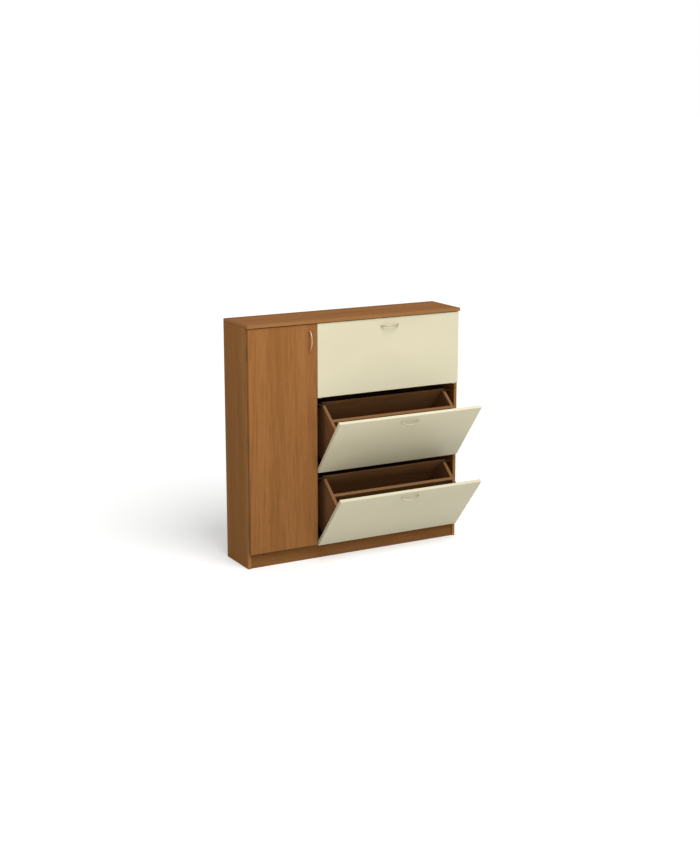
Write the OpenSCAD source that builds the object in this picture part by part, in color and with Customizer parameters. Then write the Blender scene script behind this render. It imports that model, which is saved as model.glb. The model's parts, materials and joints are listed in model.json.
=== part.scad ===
// Shoe cabinet of laminated board: a narrow cupboard with a door, and three tip-out bins beside it.
// Origin: middle of the plinth board's underside. +X right, +Y to the back, +Z up. Millimetres.

/* [Cabinet] */
// Overall width
cabinet_w = 1200; // [1100:10:1300]
// Overall height
cabinet_h = 1214; // [1214:1:1230]
// Depth from the faces of the fronts to the back
cabinet_d = 266; // [262:1:290]
// Thickness of the laminated boards
board = 16; // [15:0.5:18]
// Thickness of the hardboard back
back_t = 3; // [2:0.5:4]
// Height of the plinth board
plinth_h = 70; // [60:1:70]
// How far the plinth stands behind the front edges of the sides
plinth_setback = 6; // [4:1:10]
// Distance from the cabinet's left face to the middle of the partition
partition_at = 378; // [340:1:400]
// How far the top panel stands in front of the fronts
top_overhang = 6; // [0:1:15]
// How far each end of the top panel stands in from the side's outer face
top_inset = 2; // [0:1:5]

/* [Fronts] */
// Height of the fronts' lower edge above the floor
front_base = 77; // [77:1:78]
// Height of one tip-out front
front_h = 367; // [360:1:367]
// Gap between two tip-out fronts
front_gap = 8; // [8:0.5:9]
// Gap between the door and the tip-out fronts
door_gap = 3; // [2:1:5]
// Edge of the side that shows beside a front
side_reveal = 7; // [6:1:9]
// Gap between the backs of the fronts and the carcass
cushion = 2; // [2:0.5:3]

/* [Bins] */
// Gap between a bin and the wall of its compartment
bin_clear = 39; // [36:1:42]
// Depth of a bin from the face of its front to its back
bin_d = 250; // [230:1:252]
// Height of the sides' upper edge above the front's lower edge
bin_side_h = 236; // [200:1:238]
// Thickness of the bin's back
bin_back_t = 4; // [3:0.5:6]
// How far the bin's back stands above its sides
back_lip = 6; // [2:1:8]
// Distance of the divider's middle behind the face of the front
divider_at = 130; // [110:1:150]
// Thickness of the bin's floor
floor_t = 10; // [8:1:12]
// Height of the bin's underside above the front's lower edge
floor_up = 8; // [6:1:10]
// Distance of the pivot below the front's lower edge
pivot_down = 3.5; // [3.5:0.1:4]
// Distance of the pivot behind the face of the front
pivot_back = 8; // [7:0.5:9]
// Angle at which the upper bin meets its stops
upper_stop = 38; // [35:0.5:41]
// Angle at which the middle bin meets its stops
middle_stop = 38; // [35:0.5:41]
// Angle at which the lower bin meets its stops
lower_stop = 40; // [35:0.5:41]

/* [Cupboard] */
// Gap between a shelf's front edge and the cabinet's front edge
shelf_setback = 20; // [15:5:60]

/* [Handles] */
// Distance between the two feet of a handle
handle_pitch = 96; // [64:32:128]
// How far the middle of the grip stands off the front
handle_rise = 25; // [22:1:30]
// Diameter of the grip
grip_d = 7; // [6:1:8]
// Distance of a bin's handle below the front's upper edge
bin_handle_down = 39; // [25:1:60]
// Distance of the door's handle from the door's right edge
door_handle_in = 40; // [30:1:60]
// Distance of the door handle's middle below the door's upper edge
door_handle_down = 80; // [70:1:200]

/* [Hidden] */

$fn = 48;

// Colours
wood = [0.58, 0.39, 0.23];
cream = [0.86, 0.83, 0.70];
metal = [0.78, 0.76, 0.72];
bronze = [0.45, 0.36, 0.26];
hardboard = [0.35, 0.22, 0.13];
black = [0.10, 0.10, 0.10];

// Places along Y
carcass_front = -(plinth_setback + board / 2);
fronts_back = carcass_front - cushion;
fronts_face = fronts_back - board;
back_outer = fronts_face + cabinet_d;
carcass_back = back_outer - back_t;

bins_back = fronts_face + bin_d;
bin_sides_end = bins_back - bin_back_t;

// Places along X
left_outer = -cabinet_w / 2;
right_outer = cabinet_w / 2;
left_inner = left_outer + board;
right_inner = right_outer - board;
partition_x = left_outer + partition_at;
partition_left = partition_x - board / 2;
partition_right = partition_x + board / 2;
door_left = left_outer + side_reveal;
door_right = partition_x - door_gap / 2;
bin_front_left = partition_x + door_gap / 2;
bin_front_right = right_outer - side_reveal;
bin_front_mid = (bin_front_left + bin_front_right) / 2;
bin_left = partition_right + bin_clear;
bin_right = right_inner - bin_clear;

// Places along Z
top_under = cabinet_h - board;
front_pitch = front_h + front_gap;
door_h = 3 * front_h + 2 * front_gap;
door_top = front_base + door_h;

// Numbers of the bins, from the floor up, with the stop angle and the drawn tilt of each
lower = 0;
middle = 1;
upper = 2;
stop_angles = [lower_stop, middle_stop, upper_stop];
drawn_tilts = [lower_stop, middle_stop, 0];

// Cross rails lie flat, far enough back to be out of sight behind the fronts
rail_front = carcass_front + 94;
rail_d = 100;
rail_drop = 27;

// Dowels: radius, clearance in their holes, depths in the two boards, and distance from a board's edge
dowel_r = 4;
dowel_play = 0.1;
dowel_shallow = 11;
dowel_deep = 19;
dowel_edge = 40;
rail_dowel_edge = 25;

// Shelves and their pins
shelf_count = 3;
shelf_play = 1;
shelf_pitch = (top_under - plinth_h) / (shelf_count + 1);
shelf_pin_r = 2.5;
shelf_pin_out = 8;
shelf_pin_in = 9;
shelf_pin_play = 0.05;
shelf_pin_edge = 40;

// Door hinges: the axis runs up the corner between the door's left edge and the side's front edge
knuckle_r = 2.5;
knuckle_count = 5;
knuckle_play = 0.3;
hinge_h = 60;
leaf_t = 0.9;
leaf_w = 11;
hinge_pin_r = 1.25;
hinge_bore_r = 1.3;
hinge_x = door_left - knuckle_r - knuckle_play;
hinge_y = carcass_front - knuckle_r - knuckle_play;
hinge_end = 120;
hinge_zs = [front_base + hinge_end, front_base + door_h / 2, door_top - hinge_end];
hinge_screw_x = hinge_x + 6.8;
hinge_screw_offsets = [-18, 18];

// Pivots of the bins
pivot_y = fronts_face + pivot_back;
pivot_pin_r = 1.75;
pivot_bore_r = 1.8;
pivot_eye_r = 3;
pivot_eye_len = 14;
pivot_pin_len = 16;
bracket_t = 3;
bracket_d = 30;
bracket_h = 48;
bracket_screw_y = carcass_front + 16;
bracket_screw_ups = [14, 36];
pivot_plate_l = 60;
pivot_plate_t = 1.2;
pivot_plate_w = 13;
pivot_plate_gap = 1;
plate_screw_ins = [24, 50];

// Stop pegs reach over the side's upper edge, near the bin's back
peg_r = 3;
sleeve_r = 4.5;
peg_deep = 10;
peg_play = 0.1;
peg_reach = bin_clear + 12;
sleeve_end = 1;
stop_from_back = 12;
stop_play = 0.3;

// Screws: shank, the hole for it, the flat head and the hole for the head
shank_r = 1.5;
shank_hole_r = 1.6;
shank_len = 14;
head_r = 2.8;
head_hole_r = 2.9;

// Handles
foot_r = 4.5;
foot_h = 8;
handle_screw_r = 2;
handle_hole_r = 2.1;
handle_screw_deep = 6;
pan_head_r = 4;
pan_head_h = 2.5;
bow_sagitta = handle_rise - foot_h;
bow_r = (pow(handle_pitch / 2, 2) + pow(bow_sagitta, 2)) / (2 * bow_sagitta);
bow_half = asin(handle_pitch / 2 / bow_r);
door_handle_x = door_right - door_handle_in;
door_handle_z = door_top - door_handle_down;

// Bumpers and the door's magnetic catch
bumper_r = 3;
bumper_t = cushion - 0.2;
bumper_down = 25;
catch_z = 760;
catch_h = 46;
catch_w = 14;
catch_d = 16;
catch_plate_t = 1.2;
catch_plate_in = 5;
catch_screw_in = 10;
catch_screw_deep = 11;

// The two walls of the bins' compartment: the inner face, and the way that it looks
walls = [[partition_right, 1], [right_inner, -1]];

// Ends of the pivot plates: the X of the end at the wall, and the way that the plate runs from it
plate_ends = [for (wall = walls) [wall[0] + wall[1] * (bracket_t + pivot_plate_gap), wall[1]]];

// Depth added to a hole beyond what it holds, for the play round it
function end_room(play) = 10 * play;

// Underside of a shelf, counted from the floor up
function shelf_z(k) = plinth_h + k * shelf_pitch;

// Lower edge of a bin's front, the height of its pivot, and the underside of the cross rail under it
function base_z(i) = front_base + i * front_pitch;
function pivot_z(i) = base_z(i) - pivot_down;
function rail_z(i) = base_z(i) - rail_drop;

// Place of a stop peg's axis as seen from the pivot: its sleeve meets the side's upper edge at the angle
function stop_offset(angle) =
    let (along = bin_d - stop_from_back - pivot_back)
    let (up = bin_side_h + pivot_down + sleeve_r + stop_play)
    [along * cos(angle) - up * sin(angle), along * sin(angle) + up * cos(angle)];

// ---- Helpers ----

// Box between two corners
module box(low, high) {
    translate(low)
        cube(high - low);
}

// Cylinder that starts at a point and runs along +X
module rod_x(start, r, length) {
    translate(start)
        rotate([0, 90, 0])
            cylinder(r = r, h = length);
}

// Cylinder that starts at a point and runs along +Y
module rod_y(start, r, length) {
    translate(start)
        rotate([-90, 0, 0])
            cylinder(r = r, h = length);
}

// Cylinder that starts at a point and runs along +Z
module rod_z(start, r, length) {
    translate(start)
        cylinder(r = r, h = length);
}

// Tips what is drawn for a closed bin to the angle at which that bin is drawn
module tipped(i) {
    translate([0, pivot_y, pivot_z(i)])
        rotate([drawn_tilts[i], 0, 0])
            translate([0, -pivot_y, -pivot_z(i)])
                children();
}

// ---- Joints of the boards ----

// Dowels across a joint between a wall and a board. side is 1 where the board lies to the wall's right
module wall_dowels(joint_x, side, ys, z, play) {
    back = (side > 0 ? dowel_shallow : dowel_deep) + end_room(play);
    for (y = ys)
        rod_x([joint_x - back, y, z], dowel_r + play, dowel_shallow + dowel_deep + 2 * end_room(play));
}

// Dowels between the top panel and the boards under it
module top_dowels(play) {
    for (x = [left_outer + board / 2, partition_x, right_outer - board / 2])
        for (y = [carcass_front + dowel_edge, carcass_back - dowel_edge])
            rod_z([x, y, top_under - dowel_deep - end_room(play)], dowel_r + play,
                dowel_shallow + dowel_deep + 2 * end_room(play));
}

// Dowels at both ends of the bottom panel
module bottom_dowels(play) {
    for (end = [[left_inner, 1], [right_inner, -1]])
        wall_dowels(end[0], end[1], [carcass_front + 2 * dowel_edge, carcass_back - dowel_edge],
            plinth_h - board / 2, play);
}

// Dowels at both ends of the cross rails
module rail_dowels(play) {
    for (i = [middle, upper])
        for (end = [[partition_right, 1], [right_inner, -1]])
            wall_dowels(end[0], end[1],
                [rail_front + rail_dowel_edge, rail_front + rail_d - rail_dowel_edge],
                rail_z(i) + board / 2, play);
}

module all_dowels(play) {
    top_dowels(play);
    bottom_dowels(play);
    rail_dowels(play);
}

// Shelf pins, or with some play the holes for them
module shelf_pin_set(play) {
    for (k = [1:shelf_count])
        for (y = [carcass_front + shelf_setback + shelf_pin_edge, carcass_back - shelf_pin_edge])
            for (x = [left_inner - shelf_pin_in, partition_left - shelf_pin_out])
                rod_x([x - end_room(play), y, shelf_z(k) - shelf_pin_r], shelf_pin_r + play,
                    shelf_pin_in + shelf_pin_out + 2 * end_room(play));
}

// ---- Screws of the carcass ----

// Shanks of the side leaves' screws, or the holes for them
module side_leaf_shanks(r) {
    for (z = hinge_zs)
        for (up = hinge_screw_offsets)
            rod_y([hinge_screw_x, carcass_front - leaf_t, z + up], r, shank_len);
}

// Heads of the side leaves' screws, or the holes for them
module side_leaf_heads(r) {
    for (z = hinge_zs)
        for (up = hinge_screw_offsets)
            rod_y([hinge_screw_x, carcass_front - leaf_t, z + up], r, leaf_t);
}

// Rods square to both walls of every bin, from a distance off the wall, at a place seen from the pivot
module on_walls(y, up, r, from, reach) {
    for (i = [lower, middle, upper])
        for (wall = walls)
            rod_x([wall[0] + (wall[1] > 0 ? from : -from - reach), y, pivot_z(i) + up], r, reach);
}

module bracket_shanks(r) {
    for (up = bracket_screw_ups)
        on_walls(bracket_screw_y, up, r, bracket_t - shank_len, shank_len);
}

module bracket_heads(r) {
    for (up = bracket_screw_ups)
        on_walls(bracket_screw_y, up, r, bracket_t - leaf_t, leaf_t);
}

module catch_shanks(r) {
    for (end = [catch_screw_in, catch_h - catch_screw_in])
        rod_x([partition_left - catch_w, carcass_front + catch_d / 2, catch_z + end], r,
            catch_w + catch_screw_deep);
}

// Rods where the stop pegs are: pegs, sleeves or holes, from a depth in the wall to a distance off it
module peg_rods(r, deep, reach) {
    for (i = [lower, middle, upper])
        for (wall = walls) {
            at = stop_offset(stop_angles[i]);
            rod_x([wall[0] + (wall[1] > 0 ? -deep : -reach), pivot_y + at[0], pivot_z(i) + at[1]],
                r, deep + reach);
        }
}

// ---- Carcass ----

module side_board(x) {
    box([x, carcass_front, 0], [x + board, carcass_back, top_under]);
}

module left_side() {
    color(wood)
        difference() {
            side_board(left_outer);
            all_dowels(dowel_play);
            shelf_pin_set(shelf_pin_play);
            side_leaf_shanks(shank_hole_r);
        }
}

module right_side() {
    color(wood)
        difference() {
            side_board(right_inner);
            all_dowels(dowel_play);
            bracket_shanks(shank_hole_r);
            peg_rods(peg_r + peg_play, peg_deep + end_room(peg_play), 0);
        }
}

module partition() {
    color(wood)
        difference() {
            box([partition_left, carcass_front, plinth_h], [partition_right, carcass_back, top_under]);
            all_dowels(dowel_play);
            shelf_pin_set(shelf_pin_play);
            bracket_shanks(shank_hole_r);
            catch_shanks(shank_hole_r);
            peg_rods(peg_r + peg_play, peg_deep + end_room(peg_play), 0);
        }
}

module top_panel() {
    color(wood)
        difference() {
            box([left_outer + top_inset, fronts_face - top_overhang, top_under],
                [right_outer - top_inset, carcass_back, cabinet_h]);
            top_dowels(dowel_play);
        }
}

module bottom_panel() {
    color(wood)
        difference() {
            box([left_inner, board / 2, plinth_h - board], [right_inner, carcass_back, plinth_h]);
            bottom_dowels(dowel_play);
        }
}

module plinth_front() {
    color(wood)
        box([left_inner, -board / 2, 0], [right_inner, board / 2, plinth_h]);
}

module plinth_back() {
    color(wood)
        box([left_inner, carcass_back - 2 * board, 0], [right_inner, carcass_back - board, plinth_h - board]);
}

module cross_rail(i) {
    color(wood)
        difference() {
            box([partition_right, rail_front, rail_z(i)],
                [right_inner, rail_front + rail_d, rail_z(i) + board]);
            rail_dowels(dowel_play);
        }
}

module back_panel(left, right) {
    color(hardboard)
        box([left, carcass_back, back_t], [right, back_outer, cabinet_h - back_t]);
}

module board_dowels() {
    color(wood)
        all_dowels(0);
}

// ---- Cupboard ----

module shelf(k) {
    color(wood)
        box([left_inner + shelf_play, carcass_front + shelf_setback, shelf_z(k)],
            [partition_left - shelf_play, carcass_back - shelf_play, shelf_z(k) + board]);
}

module shelf_pins() {
    color(metal)
        shelf_pin_set(0);
}

// Knuckles of one leaf: first is 0 for the side's leaf and 1 for the door's leaf
module knuckles(first, r) {
    step = hinge_h / knuckle_count;
    for (z = hinge_zs)
        for (k = [first:2:knuckle_count - 1])
            rod_z([hinge_x, hinge_y, z - hinge_h / 2 + k * step + knuckle_play / 2], r, step - knuckle_play);
}

// Room round the other leaf's knuckles
module knuckle_room(first) {
    step = hinge_h / knuckle_count;
    for (z = hinge_zs)
        for (k = [first:2:knuckle_count - 1])
            rod_z([hinge_x, hinge_y, z - hinge_h / 2 + k * step - knuckle_play / 2],
                knuckle_r + knuckle_play, step + knuckle_play);
}

// One set of three leaves: first knuckle, the two Y faces, and the holes for the screws' heads
module leaf_set(first, near_y) {
    difference() {
        union() {
            knuckles(first, knuckle_r);
            for (z = hinge_zs)
                difference() {
                    box([hinge_x, near_y, z - hinge_h / 2 + knuckle_play],
                        [hinge_x + leaf_w, near_y + leaf_t, z + hinge_h / 2 - knuckle_play]);
                    knuckle_room(1 - first);
                }
        }
        for (z = hinge_zs)
            rod_z([hinge_x, hinge_y, z - hinge_h], hinge_bore_r, 2 * hinge_h);
        children();
    }
}

module hinge_side_leaves() {
    color(bronze)
        leaf_set(0, carcass_front - leaf_t)
            side_leaf_heads(head_hole_r);
}

module hinge_door_leaves() {
    color(bronze)
        leaf_set(1, fronts_back)
            door_leaf_heads(head_hole_r);
}

module hinge_pins() {
    color(bronze)
        for (z = hinge_zs)
            rod_z([hinge_x, hinge_y, z - hinge_h / 2], hinge_pin_r, hinge_h);
}

module carcass_screws() {
    color(metal) {
        side_leaf_shanks(shank_r);
        side_leaf_heads(head_r);
        bracket_shanks(shank_r);
        bracket_heads(head_r);
        catch_shanks(shank_r);
    }
}

module catch_body() {
    color(black)
        difference() {
            box([partition_left - catch_w, carcass_front, catch_z],
                [partition_left, carcass_front + catch_d, catch_z + catch_h]);
            catch_shanks(shank_hole_r);
        }
}

// ---- Pivots and stops of the bins ----

module pivot_brackets() {
    color(metal)
        difference() {
            for (i = [lower, middle, upper])
                for (wall = walls) {
                    x = wall[0] + (wall[1] > 0 ? 0 : -bracket_t);
                    rod_x([x, pivot_y, pivot_z(i)], pivot_eye_r, bracket_t);
                    box([x, pivot_y, pivot_z(i) - pivot_eye_r],
                        [x + bracket_t, carcass_front + bracket_d, pivot_z(i) + pivot_eye_r]);
                    box([x, carcass_front + 1, pivot_z(i)],
                        [x + bracket_t, carcass_front + bracket_d, pivot_z(i) + bracket_h]);
                }
            on_walls(pivot_y, 0, pivot_bore_r, -1, bracket_t + 2);
            bracket_shanks(shank_hole_r);
            bracket_heads(head_hole_r);
        }
}

module pivot_pins() {
    color(metal)
        on_walls(pivot_y, 0, pivot_pin_r, 0, bracket_t + pivot_pin_len);
}

module stop_pegs() {
    color(metal)
        peg_rods(peg_r, peg_deep, peg_reach);
}

module stop_sleeves() {
    color(black)
        difference() {
            peg_rods(sleeve_r, 0, peg_reach - sleeve_end);
            peg_rods(peg_r + peg_play, sleeve_end, peg_reach);
        }
}

module front_bumpers() {
    color(black) {
        for (i = [lower, middle, upper])
            for (x = [partition_right - bumper_r - 0.2, right_inner + bumper_r + 1])
                rod_y([x, carcass_front - bumper_t, base_z(i) + front_h - bumper_down], bumper_r, bumper_t);
        for (z = [front_base + bumper_down, door_top - bumper_down])
            rod_y([partition_left + bumper_r + 0.2, carcass_front - bumper_t, z], bumper_r, bumper_t);
    }
}

// ---- Handles ----

// Bow handle along X, its feet on the plane y = 0, standing out to -Y
module bow_handle() {
    color(metal)
        difference() {
            union() {
                for (x = [-1, 1] * handle_pitch / 2)
                    rod_y([x, -foot_h - 2, 0], foot_r, foot_h + 2);
                translate([0, bow_r - handle_rise, 0])
                    rotate([0, 0, 270 - bow_half])
                        rotate_extrude(angle = 2 * bow_half)
                            translate([bow_r, 0])
                                circle(d = grip_d);
            }
            handle_shanks(handle_hole_r);
        }
}

// Shanks of a handle's two screws, or the holes for them
module handle_shanks(r) {
    for (x = [-1, 1] * handle_pitch / 2)
        rod_y([x, -handle_screw_deep, 0], r, handle_screw_deep + board);
}

module handle_screw_pair() {
    handle_shanks(handle_screw_r);
    for (x = [-1, 1] * handle_pitch / 2)
        rod_y([x, board, 0], pan_head_r, pan_head_h);
}

module at_door_handle() {
    translate([door_handle_x, fronts_face, door_handle_z])
        rotate([0, 90, 0])
            children();
}

module at_bin_handle(i) {
    translate([bin_front_mid, fronts_face, base_z(i) + front_h - bin_handle_down])
        children();
}

// ---- Door ----

module door_leaf_shanks(r) {
    for (z = hinge_zs)
        for (up = hinge_screw_offsets)
            rod_y([hinge_screw_x, fronts_back + leaf_t - shank_len, z + up], r, shank_len);
}

module door_leaf_heads(r) {
    for (z = hinge_zs)
        for (up = hinge_screw_offsets)
            rod_y([hinge_screw_x, fronts_back, z + up], r, leaf_t);
}

module door_panel() {
    color(wood)
        difference() {
            box([door_left, fronts_face, front_base], [door_right, fronts_back, door_top]);
            at_door_handle()
                handle_shanks(handle_hole_r);
            door_leaf_shanks(shank_hole_r);
        }
}

module door_handle() {
    at_door_handle()
        bow_handle();
}

module door_screws() {
    color(metal) {
        at_door_handle()
            handle_screw_pair();
        door_leaf_shanks(shank_r);
        door_leaf_heads(head_r);
    }
}

module catch_plate() {
    color(metal)
        box([partition_left - catch_w + 1, fronts_back, catch_z + catch_plate_in],
            [partition_left - 1, fronts_back + catch_plate_t, catch_z + catch_h - catch_plate_in]);
}

// ---- Bins, drawn closed and then tipped ----

// Shanks of the pivot plates' screws, or the holes for them
module plate_shanks(i, r) {
    for (end = plate_ends)
        for (along = plate_screw_ins)
            rod_z([end[0] + end[1] * along, pivot_y, base_z(i) - pivot_plate_t], r, shank_len);
}

module plate_heads(i, r) {
    for (end = plate_ends)
        for (along = plate_screw_ins)
            rod_z([end[0] + end[1] * along, pivot_y, base_z(i) - pivot_plate_t], r, pivot_plate_t);
}

module bin_front(i) {
    color(cream)
        tipped(i)
            difference() {
                box([bin_front_left, fronts_face, base_z(i)],
                    [bin_front_right, fronts_back, base_z(i) + front_h]);
                at_bin_handle(i)
                    handle_shanks(handle_hole_r);
                plate_shanks(i, shank_hole_r);
            }
}

module bin_side(i, x) {
    color(wood)
        tipped(i)
            box([x, fronts_back, base_z(i) + floor_up], [x + board, bin_sides_end, base_z(i) + bin_side_h]);
}

// Board of a bin between its two sides
module bin_cross_board(i, from_y, to_y, from_up, to_up) {
    color(wood)
        tipped(i)
            box([bin_left + board, from_y, base_z(i) + from_up],
                [bin_right - board, to_y, base_z(i) + to_up]);
}

// The back covers the rear ends of the sides and of the floor
module bin_back(i) {
    color(wood)
        tipped(i)
            box([bin_left, bin_sides_end, base_z(i) + floor_up],
                [bin_right, bins_back, base_z(i) + bin_side_h + back_lip]);
}

module bin_floor(i) {
    bin_cross_board(i, fronts_back, bin_sides_end, floor_up, floor_up + floor_t);
}

// The divider runs along the bin and makes two rows
module bin_divider(i) {
    mid = fronts_face + divider_at;
    bin_cross_board(i, mid - board / 2, mid + board / 2, floor_up + floor_t, bin_side_h);
}

module bin_handle(i) {
    tipped(i)
        at_bin_handle(i)
            bow_handle();
}

module bin_screws(i) {
    color(metal)
        tipped(i) {
            at_bin_handle(i)
                handle_screw_pair();
            plate_shanks(i, shank_r);
            plate_heads(i, head_r);
        }
}

module pivot_plates(i) {
    color(metal)
        tipped(i)
            difference() {
                for (end = plate_ends) {
                    x = min(end[0], end[0] + end[1] * pivot_plate_l);
                    eye_x = min(end[0], end[0] + end[1] * pivot_eye_len);
                    box([x, pivot_y - pivot_plate_w / 2, base_z(i) - pivot_plate_t],
                        [x + pivot_plate_l, pivot_y + pivot_plate_w / 2, base_z(i)]);
                    rod_x([eye_x, pivot_y, pivot_z(i)], pivot_eye_r, pivot_eye_len);
                }
                for (end = plate_ends)
                    rod_x([end[0] - 20, pivot_y, pivot_z(i)], pivot_bore_r, 40);
                plate_heads(i, head_hole_r);
            }
}

left_side();
right_side();
partition();
top_panel();
bottom_panel();
plinth_front();
plinth_back();
cross_rail(upper);  // cross_rail_upper
cross_rail(middle);  // cross_rail_lower
back_panel(left_outer + 1, partition_x);  // back_panel_left
back_panel(partition_x, right_outer - 1);  // back_panel_right
shelf(3);  // shelf_upper
shelf(2);  // shelf_middle
shelf(1);  // shelf_lower
shelf_pins();
board_dowels();
hinge_side_leaves();
hinge_pins();
carcass_screws();
catch_body();
pivot_brackets();
pivot_pins();
stop_pegs();
stop_sleeves();
front_bumpers();
door_panel();
door_handle();
door_screws();
hinge_door_leaves();
catch_plate();
bin_front(upper);  // upper_front
bin_side(upper, bin_left);  // upper_bin_left
bin_side(upper, bin_right - board);  // upper_bin_right
bin_back(upper);  // upper_bin_back
bin_floor(upper);  // upper_bin_floor
bin_divider(upper);  // upper_bin_divider
bin_handle(upper);  // upper_handle
bin_screws(upper);  // upper_screws
pivot_plates(upper);  // upper_pivot_plates
bin_front(middle);  // middle_front
bin_side(middle, bin_left);  // middle_bin_left
bin_side(middle, bin_right - board);  // middle_bin_right
bin_back(middle);  // middle_bin_back
bin_floor(middle);  // middle_bin_floor
bin_divider(middle);  // middle_bin_divider
bin_handle(middle);  // middle_handle
bin_screws(middle);  // middle_screws
pivot_plates(middle);  // middle_pivot_plates
bin_front(lower);  // lower_front
bin_side(lower, bin_left);  // lower_bin_left
bin_side(lower, bin_right - board);  // lower_bin_right
bin_back(lower);  // lower_bin_back
bin_floor(lower);  // lower_bin_floor
bin_divider(lower);  // lower_bin_divider
bin_handle(lower);  // lower_handle
bin_screws(lower);  // lower_screws
pivot_plates(lower);  // lower_pivot_plates
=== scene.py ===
"""Looks of the shoe cabinet: laminated boards, bow handles, fittings, studio and camera.

Everything is in metres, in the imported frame: +X right, +Y to the back, +Z up, floor at z = 0.
"""

import json
import math
import random

import bmesh
import bpy
from mathutils import Matrix, Vector


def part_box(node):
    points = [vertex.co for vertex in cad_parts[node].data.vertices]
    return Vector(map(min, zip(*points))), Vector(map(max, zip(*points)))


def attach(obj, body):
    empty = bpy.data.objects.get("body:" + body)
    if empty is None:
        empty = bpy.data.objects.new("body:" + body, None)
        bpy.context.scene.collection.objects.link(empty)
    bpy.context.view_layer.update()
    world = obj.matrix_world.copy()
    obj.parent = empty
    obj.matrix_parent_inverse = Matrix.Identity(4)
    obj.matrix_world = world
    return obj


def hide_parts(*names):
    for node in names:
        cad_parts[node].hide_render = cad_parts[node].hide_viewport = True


MM = 0.001

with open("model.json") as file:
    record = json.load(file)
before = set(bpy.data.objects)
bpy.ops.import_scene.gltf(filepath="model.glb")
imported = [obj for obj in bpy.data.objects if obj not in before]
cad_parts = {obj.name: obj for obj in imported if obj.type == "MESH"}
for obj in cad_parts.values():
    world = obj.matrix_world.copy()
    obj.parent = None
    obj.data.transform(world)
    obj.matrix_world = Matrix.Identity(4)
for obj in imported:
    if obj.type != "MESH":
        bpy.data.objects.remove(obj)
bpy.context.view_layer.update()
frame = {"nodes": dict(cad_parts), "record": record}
NODES = frame["nodes"]
JOINTS = {joint["name"]: joint for joint in frame["record"]["behaviour"]["joints"]}
BINS = ("upper", "middle", "lower")
UNMOVED = Matrix.Identity(4)


# ---- Camera ----

CAMERA_AIM = (0.038, 0.109, 0.6233)
CAMERA_AZIMUTH = -28.96
CAMERA_ELEVATION = 12.97
CAMERA_DISTANCE = 7.7976
CAMERA_LENS = 64.6
CAMERA_SENSOR = 36
CAMERA_REACH = 200


def direction(azimuth, elevation):
    """Unit vector from the object towards what stands at this azimuth and elevation."""
    a, e = math.radians(azimuth), math.radians(elevation)
    return Vector((math.sin(a) * math.cos(e), -math.cos(a) * math.cos(e), math.sin(e)))


def make_camera():
    data = bpy.data.cameras.new("camera")
    data.lens = CAMERA_LENS
    data.sensor_width = CAMERA_SENSOR
    data.clip_end = CAMERA_REACH
    camera = bpy.data.objects.new("camera", data)
    bpy.context.scene.collection.objects.link(camera)
    back = direction(CAMERA_AZIMUTH, CAMERA_ELEVATION)
    camera.location = Vector(CAMERA_AIM) + back * CAMERA_DISTANCE
    camera.rotation_euler = (-back).to_track_quat("-Z", "Y").to_euler()
    bpy.context.scene.camera = camera


# ---- Where the bins are ----


def tipping(bin_name):
    """Matrix from a bin's closed place to its place at rest."""
    joint = JOINTS[f"{bin_name}_bin_pivot"]
    pivot = Vector(joint["pos_m"])
    tilt = -math.radians(joint["range_deg"][0])
    turn = Matrix.Rotation(tilt, 4, "X")
    return Matrix.Translation(pivot) @ turn @ Matrix.Translation(-pivot)


HOMES = {name: tipping(name) for name in BINS}


def home_of(node):
    """Matrix from a node's closed place to its place at rest."""
    return HOMES.get(node.split("_")[0], UNMOVED)


def extent(points):
    """Lowest and highest corner round some points."""
    low = Vector([min(p[i] for p in points) for i in range(3)])
    high = Vector([max(p[i] for p in points) for i in range(3)])
    return low, high


def closed_box(node):
    """Lowest and highest corner of a node with its bin closed."""
    back = home_of(node).inverted()
    return extent([back @ v.co for v in NODES[node].data.vertices])


# ---- Shader helpers ----

# The sockets for colours on a Mix node
MIX_A, MIX_B, MIX_RESULT = 6, 7, 2


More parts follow.
